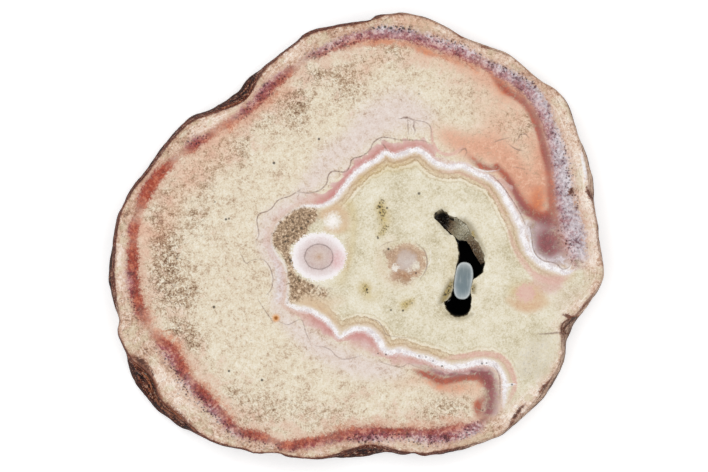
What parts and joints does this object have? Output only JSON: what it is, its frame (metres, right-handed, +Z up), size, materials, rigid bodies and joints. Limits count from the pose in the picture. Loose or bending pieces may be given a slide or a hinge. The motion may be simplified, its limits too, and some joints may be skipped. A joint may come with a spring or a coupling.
{
  "type": "agate slice",
  "caption": "Polished agate slice with a rough rind, scalloped bands, round eyes and a small crystal-lined hollow, lying flat on its sawn back as a specimen or display slab",
  "frame": {"origin": "centre of the bounding box at the bottom, on the sawn back", "axes": "+Z is up, out of the polished face; +X is the slice's longest extent; +Y is across it"},
  "size_m": [0.12, 0.1083, 0.008],
  "materials": {
    "agate": "polished face, rough rind",
    "druse": "small glassy crystals"
  },
  "bodies": {
    "root": {"agate_slice": "agate", "druse_crust": "druse"}
  },
  "joints": []
}
